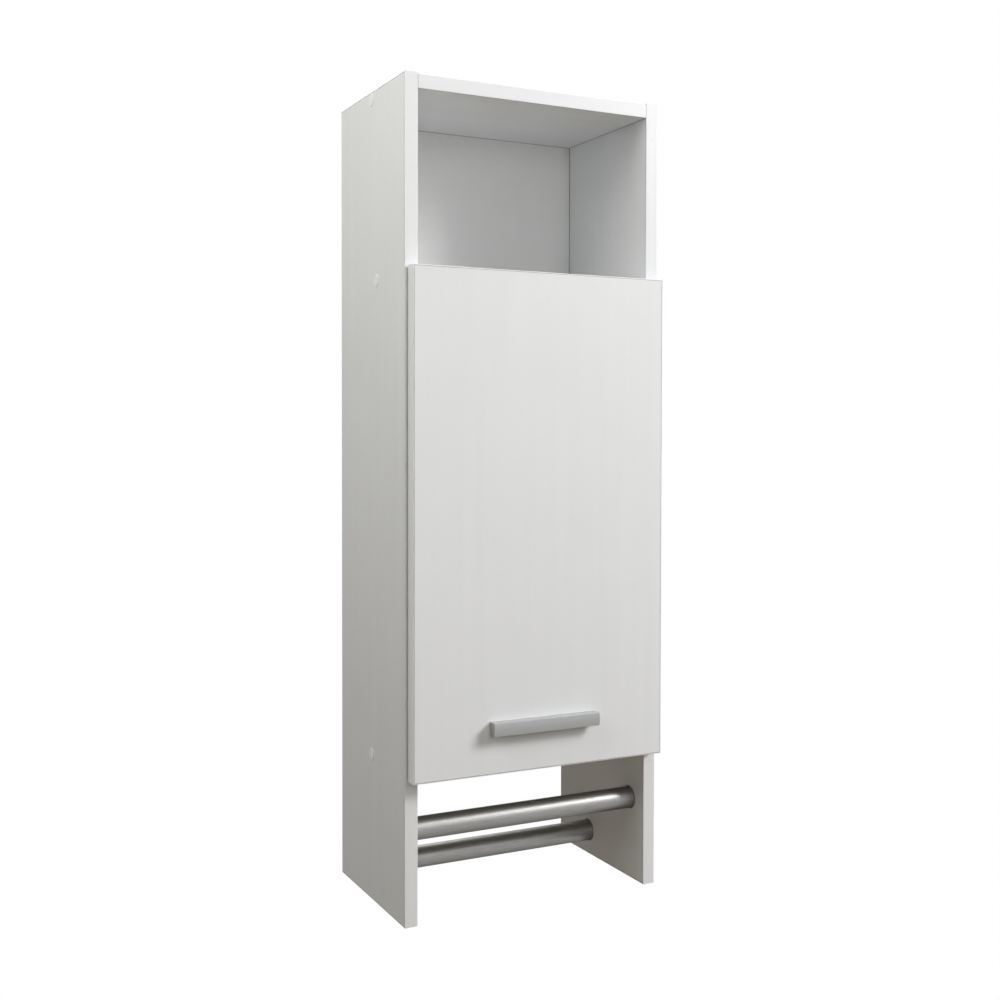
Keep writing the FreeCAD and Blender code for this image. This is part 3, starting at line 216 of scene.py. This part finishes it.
def abs_edging(name, run, *strips):
    """Edging whose drag marks run along one axis."""
    material, tree, shader = new_finish(name)
    at = add(tree, "ShaderNodeTexCoord").outputs["Object"]
    pull = [METRE / DRAG_WIDTH_MM] * 3
    pull[run] = METRE / DRAG_LENGTH_MM
    pulled = add(tree, "ShaderNodeMapping", {"Vector": at, "Scale": pull})
    marks = {"Vector": pulled.outputs[0], "Scale": 1.0, "Detail": FINE_DETAIL}
    drag = add(tree, "ShaderNodeTexNoise", marks)
    shades = {0: drag.outputs[0], COLOUR_A: linear(EDGE_DIM), COLOUR_B: linear(EDGE_WHITE)}
    white = add(tree, "ShaderNodeMix", shades, data_type="RGBA")
    patches = {"Vector": at, "Scale": METRE / SCUFF_MM, "Detail": SCUFF_DETAIL}
    patch = add(tree, "ShaderNodeTexNoise", patches)
    least, most = SCUFF_RANGE
    spread = {"Value": patch.outputs[0], "From Min": least, "From Max": most}
    scuff = add(tree, "ShaderNodeMapRange", spread)
    dull = linear(EDGE_SCUFF)
    worn = {0: scuff.outputs[0], COLOUR_A: white.outputs[COLOUR_OUT], COLOUR_B: dull}
    colour = add(tree, "ShaderNodeMix", worn, data_type="RGBA")
    tree.links.new(colour.outputs[COLOUR_OUT], shader.inputs["Base Color"])
    least, most = EDGE_ROUGHNESS
    spread = {"Value": drag.outputs[0], "To Min": least, "To Max": most}
    rough = add(tree, "ShaderNodeMapRange", spread)
    tree.links.new(rough.outputs[0], shader.inputs["Roughness"])
    relief = {"Height": drag.outputs[0], "Strength": DRAG_BUMP, "Distance": DRAG_BUMP_MM / METRE}
    tree.links.new(add(tree, "ShaderNodeBump", relief).outputs[0], shader.inputs["Normal"])
    dress(material, *strips)


abs_edging("abs_edging_upright", Z_AXIS, "left_side_edging", "right_side_edging", "door_edging")
level_boards = ("top_panel", "fixed_shelf", "bottom_panel", "adjustable_shelf")
abs_edging("abs_edging_level", X_AXIS, *[f"{board}_edging" for board in level_boards])

# Dowels: turned beech, glued into the ends of the level boards and into the side panels. Short
# dark flecks run along the grain.
BEECH_PALE = "D9B58A"
BEECH_DARK = "B98E60"
BEECH_ROUGHNESS = 0.7
BEECH_WIDTH_MM = 1.1
BEECH_LENGTH_MM = 16.0
BEECH_DETAIL = 4.0
BEECH_BUMP = 0.2
BEECH_BUMP_MM = 0.2
beech, tree, shader = new_finish("beech")
shader.inputs["Roughness"].default_value = BEECH_ROUGHNESS
at = add(tree, "ShaderNodeTexCoord").outputs["Object"]
pull = (METRE / BEECH_LENGTH_MM, METRE / BEECH_WIDTH_MM, METRE / BEECH_WIDTH_MM)
pulled = add(tree, "ShaderNodeMapping", {"Vector": at, "Scale": pull})
flecks = {"Vector": pulled.outputs[0], "Scale": 1.0, "Detail": BEECH_DETAIL}
grain = add(tree, "ShaderNodeTexNoise", flecks)
shades = {0: grain.outputs[0], COLOUR_A: linear(BEECH_DARK), COLOUR_B: linear(BEECH_PALE)}
colour = add(tree, "ShaderNodeMix", shades, data_type="RGBA")
tree.links.new(colour.outputs[COLOUR_OUT], shader.inputs["Base Color"])
relief = {"Height": grain.outputs[0], "Strength": BEECH_BUMP, "Distance": BEECH_BUMP_MM / METRE}
tree.links.new(add(tree, "ShaderNodeBump", relief).outputs[0], shader.inputs["Normal"])
dress(beech, "wooden_dowels")

# Back panel: thin hardboard pressed from wood fibre, slid into grooves. It is lacquered white
# towards the room, and shows bare mottled fibre towards the wall. The real fibres are finer,
# and are drawn coarser so that they show.
FIBRE_DARK = "7B5B3C"
FIBRE_PALE = "A5825A"
FIBRE_ROUGHNESS = 0.85
FIBRE_MM = 0.9
FIBRE_DETAIL = 5.0
FIBRE_CRISPNESS = 0.7
FIBRE_RANGE = (0.75, 1.3)
FIBRE_BUMP = 0.15
FIBRE_BUMP_MM = 0.2
MOTTLE_MM = 40.0
LACQUER_WHITE = "E6E6E5"
LACQUER_DIM = "E2E2E1"
LACQUER_ROUGHNESS = (0.4, 0.5)
# Painted shade in the corners where the back panel meets the side and top panels
SEAM_SHADE_GREY = "7C7A76"
SEAM_MM = 0.6
hardboard, tree, shader = new_finish("lacquered_hardboard")
place = add(tree, "ShaderNodeTexCoord")
at = place.outputs["Object"]
normal = add(tree, "ShaderNodeSeparateXYZ", {0: place.outputs["Normal"]})
turned = {0: normal.outputs["Y"], 1: -SQUARE_ON}
roomward = add(tree, "ShaderNodeMath", turned, operation="LESS_THAN").outputs[0]
fibre = {"Vector": at, "Scale": METRE / FIBRE_MM, "Detail": FIBRE_DETAIL}
fibre["Roughness"] = FIBRE_CRISPNESS
fibres = add(tree, "ShaderNodeTexNoise", fibre)
patches = {"Vector": at, "Scale": METRE / MOTTLE_MM, "Detail": FINE_DETAIL}
mottle = add(tree, "ShaderNodeTexNoise", patches)
sums = {0: fibres.outputs[0], 1: mottle.outputs[0]}
both = add(tree, "ShaderNodeMath", sums, operation="ADD")
least, most = FIBRE_RANGE
spread = {"Value": both.outputs[0], "From Min": least, "From Max": most}
tone = add(tree, "ShaderNodeMapRange", spread)
browns = {0: tone.outputs[0], COLOUR_A: linear(FIBRE_DARK), COLOUR_B: linear(FIBRE_PALE)}
brown = add(tree, "ShaderNodeMix", browns, data_type="RGBA")
whites = {0: mottle.outputs[0], COLOUR_A: linear(LACQUER_DIM), COLOUR_B: linear(LACQUER_WHITE)}
white = add(tree, "ShaderNodeMix", whites, data_type="RGBA")

# seam: painted shade, a dark line in the corners where the lacquer meets the side panels and the
# top panel
seam_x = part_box("right_side_panel")[0].x - SEAM_MM / METRE
seam_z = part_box("top_panel")[0].z - SEAM_MM / METRE / 2
where = add(tree, "ShaderNodeSeparateXYZ", {0: at})
across = add(tree, "ShaderNodeMath", {0: where.outputs["X"]}, operation="ABSOLUTE")
aside = add(tree, "ShaderNodeMath", {0: across.outputs[0], 1: seam_x}, operation="GREATER_THAN")
above = add(tree, "ShaderNodeMath", {0: where.outputs["Z"], 1: seam_z}, operation="GREATER_THAN")
ends = {0: aside.outputs[0], 1: above.outputs[0]}
seam = add(tree, "ShaderNodeMath", ends, operation="MAXIMUM")
painted_seam_shade = linear(SEAM_SHADE_GREY)
seam_shading = {0: seam.outputs[0], COLOUR_A: white.outputs[COLOUR_OUT], COLOUR_B: painted_seam_shade}
lined = add(tree, "ShaderNodeMix", seam_shading, data_type="RGBA")
sides = {0: roomward, COLOUR_A: brown.outputs[COLOUR_OUT], COLOUR_B: lined.outputs[COLOUR_OUT]}
colour = add(tree, "ShaderNodeMix", sides, data_type="RGBA")
tree.links.new(colour.outputs[COLOUR_OUT], shader.inputs["Base Color"])
least, most = LACQUER_ROUGHNESS
spread = {"Value": fibres.outputs[0], "To Min": least, "To Max": most}
polish = add(tree, "ShaderNodeMapRange", spread)
finish = {0: roomward, VALUE_A: FIBRE_ROUGHNESS, VALUE_B: polish.outputs[0]}
rough = add(tree, "ShaderNodeMix", finish)
tree.links.new(rough.outputs[0], shader.inputs["Roughness"])
relief = {"Height": fibres.outputs[0], "Strength": FIBRE_BUMP, "Distance": FIBRE_BUMP_MM / METRE}
tree.links.new(add(tree, "ShaderNodeBump", relief).outputs[0], shader.inputs["Normal"])
dress(hardboard, "back_panel")

# Towel rails: thin stainless steel tube, drawn and ground lengthwise, with its ends in blind
# sockets of the side panels. The grinding gives a soft, long highlight with fine streaks. The
# real marks are a tenth of a millimetre wide, and are drawn coarser so that they show.
STEEL_BRIGHT = "A6A5A3"
STEEL_DIM = "767573"
STEEL_ROUGHNESS = 0.42
STEEL_RIM = "A0A0A0"
STEEL_LINE_MM = 1.0
STEEL_RUN_MM = 14.0
MARK_DETAIL = 4.0
MARK_CRISPNESS = 0.6
MARK_POLISH = 0.05
MARK_BUMP = 0.06
MARK_BUMP_MM = 0.1


def worked_metal(name, bright, dim, roughness, line_mm, run_mm):
    """Metal whose polishing marks run along X: their width, and their length."""
    material, tree, shader = new_finish(name)
    shader.inputs["Metallic"].default_value = 1.0
    at = add(tree, "ShaderNodeTexCoord").outputs["Object"]
    pull = (METRE / run_mm, METRE / line_mm, METRE / line_mm)
    pulled = add(tree, "ShaderNodeMapping", {"Vector": at, "Scale": pull})
    grind = {"Vector": pulled.outputs[0], "Scale": 1.0, "Detail": MARK_DETAIL}
    grind["Roughness"] = MARK_CRISPNESS
    marks = add(tree, "ShaderNodeTexNoise", grind)
    shades = {0: marks.outputs[0], COLOUR_A: linear(dim), COLOUR_B: linear(bright)}
    colour = add(tree, "ShaderNodeMix", shades, data_type="RGBA")
    tree.links.new(colour.outputs[COLOUR_OUT], shader.inputs["Base Color"])
    spread = {"Value": marks.outputs[0]}
    spread.update({"To Min": roughness - MARK_POLISH, "To Max": roughness + MARK_POLISH})
    rough = add(tree, "ShaderNodeMapRange", spread)
    tree.links.new(rough.outputs[0], shader.inputs["Roughness"])
    relief = {"Height": marks.outputs[0], "Strength": MARK_BUMP, "Distance": MARK_BUMP_MM / METRE}
    tree.links.new(add(tree, "ShaderNodeBump", relief).outputs[0], shader.inputs["Normal"])
    return material


rail_steel = worked_metal(
    "ground_stainless_steel",
    STEEL_BRIGHT, STEEL_DIM, STEEL_ROUGHNESS, STEEL_LINE_MM, STEEL_RUN_MM,
)
steel = rail_steel.node_tree.nodes["Principled BSDF"]
steel.inputs["Specular Tint"].default_value = linear(STEEL_RIM)
dress(rail_steel, "front_towel_rail", "rear_towel_rail")

# Wall hangers and screws: zinc-plated steel, bent from sheet or rolled. The plating is greyer
# than nickel, with pale bluish and yellowish patches.
ZINC_BRIGHT = "C5CACD"
ZINC_DIM = "ADB0AC"
ZINC_ROUGHNESS = 0.33
ZINC_CLOUD_MM = 5.5
zinc = worked_metal(
    "zinc_plated_steel",
    ZINC_BRIGHT, ZINC_DIM, ZINC_ROUGHNESS, ZINC_CLOUD_MM, ZINC_CLOUD_MM,
)
dress(zinc, "left_wall_hanger", "right_wall_hanger")
for screwed in ("hanger", "handle", "joint", "hinge_plate", "hinge_arm", "hinge_cup"):
    dress(zinc, f"{screwed}_screws")

# Cover caps and shelf pins: moulded white polyethylene, pressed on or plugged in by hand. The
# mould leaves a fine, slightly waxy skin.
PLASTIC_WHITE = "EBECEE"
PLASTIC_DIM = "E7E8EA"
PLASTIC_ROUGHNESS = (0.28, 0.4)
SKIN_MM = 0.8
SKIN_BUMP = 0.1
SKIN_BUMP_MM = 0.1
polyethylene, tree, shader = new_finish("moulded_polyethylene")
at = add(tree, "ShaderNodeTexCoord").outputs["Object"]
skin = add(tree, "ShaderNodeTexNoise", {"Vector": at, "Scale": METRE / SKIN_MM})
shades = {0: skin.outputs[0], COLOUR_A: linear(PLASTIC_DIM), COLOUR_B: linear(PLASTIC_WHITE)}
colour = add(tree, "ShaderNodeMix", shades, data_type="RGBA")
tree.links.new(colour.outputs[COLOUR_OUT], shader.inputs["Base Color"])
least, most = PLASTIC_ROUGHNESS
spread = {"Value": skin.outputs[0], "To Min": least, "To Max": most}
rough = add(tree, "ShaderNodeMapRange", spread)
tree.links.new(rough.outputs[0], shader.inputs["Roughness"])
relief = {"Height": skin.outputs[0], "Strength": SKIN_BUMP, "Distance": SKIN_BUMP_MM / METRE}
tree.links.new(add(tree, "ShaderNodeBump", relief).outputs[0], shader.inputs["Normal"])
dress(polyethylene, "screw_cover_caps", "shelf_pins")

# Handle: a cast aluminium finger pull under silver lacquer, screwed on from inside the door.
# Flakes of metal in the clear lacquer give broad, soft reflections with hardly any streaks.
ALUMINIUM_BRIGHT = "A7A7A8"
ALUMINIUM_DIM = "989899"
ALUMINIUM_ROUGHNESS = 0.42
ALUMINIUM_LINE_MM = 0.8
ALUMINIUM_RUN_MM = 30.0
SILVER_METALLIC = 0.2
SILVER_COAT = 0.9
SILVER_COAT_ROUGHNESS = 0.2
handle_aluminium = worked_metal(
    "silver_lacquered_aluminium",
    ALUMINIUM_BRIGHT, ALUMINIUM_DIM, ALUMINIUM_ROUGHNESS, ALUMINIUM_LINE_MM, ALUMINIUM_RUN_MM,
)
lacquer = handle_aluminium.node_tree.nodes["Principled BSDF"]
lacquer.inputs["Metallic"].default_value = SILVER_METALLIC
lacquer.inputs["Coat Weight"].default_value = SILVER_COAT
lacquer.inputs["Coat Roughness"].default_value = SILVER_COAT_ROUGHNESS
dress(handle_aluminium, "door_handle")

# Hinges: pressed and nickel-plated steel, riveted on pins. The plating is bright and slightly
# warm, with the soft clouding of handled metal.
NICKEL_BRIGHT = "CFC9BD"
NICKEL_DIM = "B9B2A4"
NICKEL_ROUGHNESS = 0.26
NICKEL_CLOUD_MM = 8.0
nickel = worked_metal(
    "nickel_plated_steel",
    NICKEL_BRIGHT, NICKEL_DIM, NICKEL_ROUGHNESS, NICKEL_CLOUD_MM, NICKEL_CLOUD_MM,
)
dress(nickel, "hinge_arm_pins", "hinge_cup_pins")
for hinge in ("upper", "lower"):
    for piece in ("plate", "arm", "outer_link", "inner_link", "cup"):
        dress(nickel, f"{hinge}_hinge_{piece}")

# Door buffers: small discs of clear polyurethane, stuck to the back of the door. They are
# hazy rather than glass-clear.
BUFFER_CLEAR = "E4E5DF"
BUFFER_HAZE = "D2D3CB"
BUFFER_ROUGHNESS = (0.2, 0.35)
BUFFER_TRANSMISSION = 0.35
BUFFER_IOR = 1.5
HAZE_MM = 2.5
polyurethane, tree, shader = new_finish("clear_polyurethane")
shader.inputs["Transmission Weight"].default_value = BUFFER_TRANSMISSION
shader.inputs["IOR"].default_value = BUFFER_IOR
at = add(tree, "ShaderNodeTexCoord").outputs["Object"]
haze = add(tree, "ShaderNodeTexNoise", {"Vector": at, "Scale": METRE / HAZE_MM})
shades = {0: haze.outputs[0], COLOUR_A: linear(BUFFER_HAZE), COLOUR_B: linear(BUFFER_CLEAR)}
colour = add(tree, "ShaderNodeMix", shades, data_type="RGBA")
tree.links.new(colour.outputs[COLOUR_OUT], shader.inputs["Base Color"])
least, most = BUFFER_ROUGHNESS
spread = {"Value": haze.outputs[0], "To Min": least, "To Max": most}
rough = add(tree, "ShaderNodeMapRange", spread)
tree.links.new(rough.outputs[0], shader.inputs["Roughness"])
dress(polyurethane, "door_buffers")

# Floor: a plain pale plane well below the cabinet. Camera and mirror rays see it white, with
# the cabinet's soft shadow near the middle, and the camera sees through it from below.
FLOOR_DROP = 1.2
FLOOR_HALF = 6.0
FLOOR_TONE = "A89A80"
FLOOR_ROUGHNESS = 0.9
SHADOW_WHITENESS = 0.55
SHADOW_NEAR = 0.3
SHADOW_FAR = 2.0
WHITE = (1.0, 1.0, 1.0, 1.0)
WHITE_GLOW = 1.0
low, high = cad_box
corners = [(-FLOOR_HALF, -FLOOR_HALF), (FLOOR_HALF, -FLOOR_HALF)]
corners += [(FLOOR_HALF, FLOOR_HALF), (-FLOOR_HALF, FLOOR_HALF)]
floor_mesh = bpy.data.meshes.new("floor")
floor_mesh.from_pydata([(x, y, 0.0) for x, y in corners], [], [(0, 1, 2, 3)])
floor = bpy.data.objects.new("floor", floor_mesh)
floor.location.z = low.z - FLOOR_DROP
bpy.context.collection.objects.link(floor)
pale, tree, shader = new_finish("pale_floor")
shader.inputs["Base Color"].default_value = linear(FLOOR_TONE)
shader.inputs["Roughness"].default_value = FLOOR_ROUGHNESS


def sees_backdrop(tree):
    """One for the rays that show the white backdrop: camera, mirror and glass rays."""
    ray = add(tree, "ShaderNodeLightPath").outputs
    straight = {0: ray["Is Camera Ray"], 1: ray["Is Glossy Ray"]}
    shown = add(tree, "ShaderNodeMath", straight, operation="MAXIMUM")
    through = {0: shown.outputs[0], 1: ray["Is Transmission Ray"]}
    return add(tree, "ShaderNodeMath", through, operation="MAXIMUM").outputs[0]


white = add(tree, "ShaderNodeEmission", {"Color": WHITE, "Strength": WHITE_GLOW})
at = add(tree, "ShaderNodeTexCoord").outputs["Object"]
radius = add(tree, "ShaderNodeVectorMath", {0: at}, operation="LENGTH").outputs["Value"]
fade = {"Value": radius, "From Min": SHADOW_NEAR, "From Max": SHADOW_FAR}
fade["To Min"] = SHADOW_WHITENESS
pool = add(tree, "ShaderNodeMapRange", fade)
shown = {0: sees_backdrop(tree), 1: pool.outputs[0]}
whiten = add(tree, "ShaderNodeMath", shown, operation="MULTIPLY")
from_above = {0: whiten.outputs[0], 1: shader.outputs[0], 2: white.outputs[0]}
seen = add(tree, "ShaderNodeMixShader", from_above)
clear = add(tree, "ShaderNodeBsdfTransparent")
behind = add(tree, "ShaderNodeNewGeometry").outputs["Backfacing"]
whole = add(tree, "ShaderNodeMixShader", {0: behind, 1: seen.outputs[0], 2: clear.outputs[0]})
tree.links.new(whole.outputs[0], tree.nodes["Material Output"].inputs["Surface"])
floor_mesh.materials.append(pale)

# Studio: a dim surround that is brighter overhead than underfoot, a white backdrop, and
# softboxes placed after the shadows and the fall of light in the photograph.
SURROUND_HIGH = 0.11
SURROUND_LOW = 0.02
SURROUND_FADE = 0.3
world = bpy.data.worlds.new("studio")
bpy.context.scene.world = world
world.use_nodes = True
tree = world.node_tree
ground = tree.nodes["Background"]
ground.inputs["Color"].default_value = WHITE
aim = add(tree, "ShaderNodeTexCoord")
upward = add(tree, "ShaderNodeSeparateXYZ", {0: aim.outputs["Generated"]})
ramp = {"Value": upward.outputs["Z"], "From Min": -SURROUND_FADE, "From Max": SURROUND_FADE}
ramp.update({"To Min": SURROUND_LOW, "To Max": SURROUND_HIGH})
tree.links.new(add(tree, "ShaderNodeMapRange", ramp).outputs[0], ground.inputs["Strength"])
backdrop = add(tree, "ShaderNodeBackground", {"Color": WHITE, "Strength": WHITE_GLOW})
shown = {0: sees_backdrop(tree), 1: ground.outputs[0], 2: backdrop.outputs[0]}
either = add(tree, "ShaderNodeMixShader", shown)
tree.links.new(either.outputs[0], tree.nodes["World Output"].inputs["Surface"])
LIGHT_AIM = (0.0, -0.1, -0.35)
FAINT_YELLOW = (1.0, 1.0, 0.95)


def softbox(name, at, size, watts, tint=(1.0, 1.0, 1.0)):
    """A square light aimed at the middle of the cabinet."""
    lamp = bpy.data.lights.new(name, "AREA")
    lamp.size = size
    lamp.energy = watts
    lamp.color = tint
    rig = bpy.data.objects.new(name, lamp)
    rig.location = at
    rig.rotation_euler = (Vector(LIGHT_AIM) - Vector(at)).to_track_quat("-Z", "Y").to_euler()
    bpy.context.collection.objects.link(rig)


softbox("key", at=(2.14, -1.66, 1.06), size=1.0, watts=88.0)
softbox("side_fill", at=(-0.96, -0.34, 0.42), size=0.9, watts=9.5, tint=FAINT_YELLOW)
softbox("front_fill", at=(0.0, -2.23, 0.03), size=0.9, watts=8.2)
softbox("back_light", at=(0.42, 1.85, 0.8), size=0.9, watts=20.0)

# Camera: place in metres, turns in degrees, lens in millimetres and framing as a share of the
# picture, all fitted to the cabinet's edges in the photograph.
CAMERA_AT = (-0.66887, -1.4379, -0.33584)
CAMERA_YAW = 26.64
CAMERA_PITCH = -1.33
CAMERA_ROLL = 0.10
CAMERA_LENS = 46.163
CAMERA_SENSOR = 36.0
CAMERA_RISE = -0.03808
LEVEL = 90.0
camera_data = bpy.data.cameras.new("camera")
camera_data.sensor_width = CAMERA_SENSOR
camera_data.lens = CAMERA_LENS
camera_data.shift_y = CAMERA_RISE
camera = bpy.data.objects.new("camera", camera_data)
bpy.context.collection.objects.link(camera)
tilted = Matrix.Rotation(math.radians(LEVEL + CAMERA_PITCH), 4, "X")
turned = Matrix.Rotation(math.radians(-CAMERA_YAW), 4, "Z") @ tilted
rolled = turned @ Matrix.Rotation(math.radians(CAMERA_ROLL), 4, "Z")
camera.matrix_world = Matrix.Translation(CAMERA_AT) @ rolled
bpy.context.scene.camera = camera
bpy.context.scene.view_settings.view_transform = "Standard"
